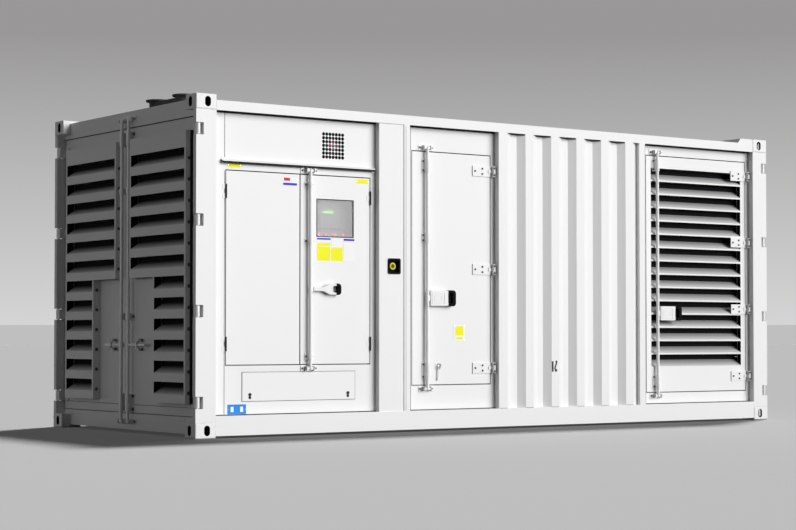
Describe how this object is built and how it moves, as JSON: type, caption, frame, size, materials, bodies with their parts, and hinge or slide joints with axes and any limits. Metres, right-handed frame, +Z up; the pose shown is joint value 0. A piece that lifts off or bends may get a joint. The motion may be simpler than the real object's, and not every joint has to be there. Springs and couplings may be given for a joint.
{
  "type": "containerized diesel generator",
  "caption": "Freight-container housing of a diesel generator with louvred end doors, hinged side doors, lock rods and roof exhaust outlets.",
  "frame": {"origin": "centre of the footprint, on the ground", "axes": "+X along the length towards the end without exhaust outlets, +Y towards the rear side, +Z up"},
  "size_m": [6.058, 2.438, 2.707],
  "materials": {
    "white_paint": "semi-gloss white paint",
    "zinc_fittings": "zinc-plated steel",
    "steel_floor": "worn grey paint",
    "base_paint": "matt dark underbody paint",
    "exhaust_steel": "matt heat-resistant paint",
    "grey_panel": "satin grey paint",
    "window_glass": "clear pane",
    "black_plastic": "matt black plastic",
    "red_plastic": "gloss red plastic",
    "black_hinge": "satin black paint"
  },
  "bodies": {
    "container": {"corner_castings": "white_paint", "corner_posts": "white_paint", "bottom_side_rails": "white_paint", "top_side_rails": "white_paint", "end_headers": "white_paint", "end_sills": "white_paint", "floor_plate": "steel_floor", "cross_members": "base_paint", "roof_sheet": "white_paint", "roof_corner_plates": "white_paint", "exhaust_outlets": "exhaust_steel", "bay_posts": "white_paint", "corrugated_walls": "white_paint", "control_frame": "white_paint", "vent_panel": "white_paint", "drip_rail": "white_paint", "sounder": "red_plastic", "lower_panel": "white_paint", "access_cover": "white_paint", "control_panel": "grey_panel", "service_frames": "white_paint", "louvre_frames": "white_paint", "emergency_stop": "black_plastic", "lock_keepers": "zinc_fittings", "hinge_brackets": "white_paint", "control_hinge_pins": "black_hinge", "far_end_doors": "white_paint", "far_end_louvres": "white_paint", "far_end_fittings": "zinc_fittings", "rear_service_door": "white_paint", "rear_louvre_door": "white_paint", "rear_door_hinges": "white_paint", "rear_door_locks": "zinc_fittings"},
    "end_leaf_left": {"end_door_left": "white_paint", "end_louvre_left": "white_paint", "end_fittings_left": "zinc_fittings"},
    "end_leaf_right": {"end_door_right": "white_paint", "end_louvre_right": "white_paint", "end_fittings_right": "zinc_fittings"},
    "control_leaf_left": {"control_door_left": "white_paint", "control_hinges_left": "black_hinge"},
    "control_leaf_right": {"control_door_right": "white_paint", "control_window": "window_glass", "control_hinges_right": "black_hinge", "control_lock": "zinc_fittings", "control_handle": "white_paint"},
    "service_leaf": {"service_door": "white_paint", "service_straps": "white_paint", "service_lock": "zinc_fittings", "service_handle": "white_paint"},
    "louvre_leaf": {"louvre_door": "white_paint", "louvre_straps": "white_paint", "louvre_lock": "zinc_fittings", "louvre_handle": "white_paint"}
  },
  "joints": [
    {"name": "end_leaf_left_hinge", "type": "hinge", "parent": "container", "child": "end_leaf_left", "pos_m": [-2.999, 1.193, 1.3], "axis": [0, 0, -1], "range_deg": [0, 180]},
    {"name": "end_leaf_right_hinge", "type": "hinge", "parent": "container", "child": "end_leaf_right", "pos_m": [-2.999, -1.193, 1.3], "axis": [0, 0, 1], "range_deg": [0, 180]},
    {"name": "control_leaf_left_hinge", "type": "hinge", "parent": "container", "child": "control_leaf_left", "pos_m": [-2.735, -1.163, 1.29], "axis": [0, 0, -1], "range_deg": [0, 110]},
    {"name": "control_leaf_right_hinge", "type": "hinge", "parent": "container", "child": "control_leaf_right", "pos_m": [-1.407, -1.163, 1.29], "axis": [0, 0, 1], "range_deg": [0, 110]},
    {"name": "service_leaf_hinge", "type": "hinge", "parent": "container", "child": "service_leaf", "pos_m": [-0.1677, -1.177, 1.32], "axis": [0, 0, 1], "range_deg": [0, 110]},
    {"name": "louvre_leaf_hinge", "type": "hinge", "parent": "container", "child": "louvre_leaf", "pos_m": [2.826, -1.177, 1.32], "axis": [0, 0, 1], "range_deg": [0, 110]}
  ]
}
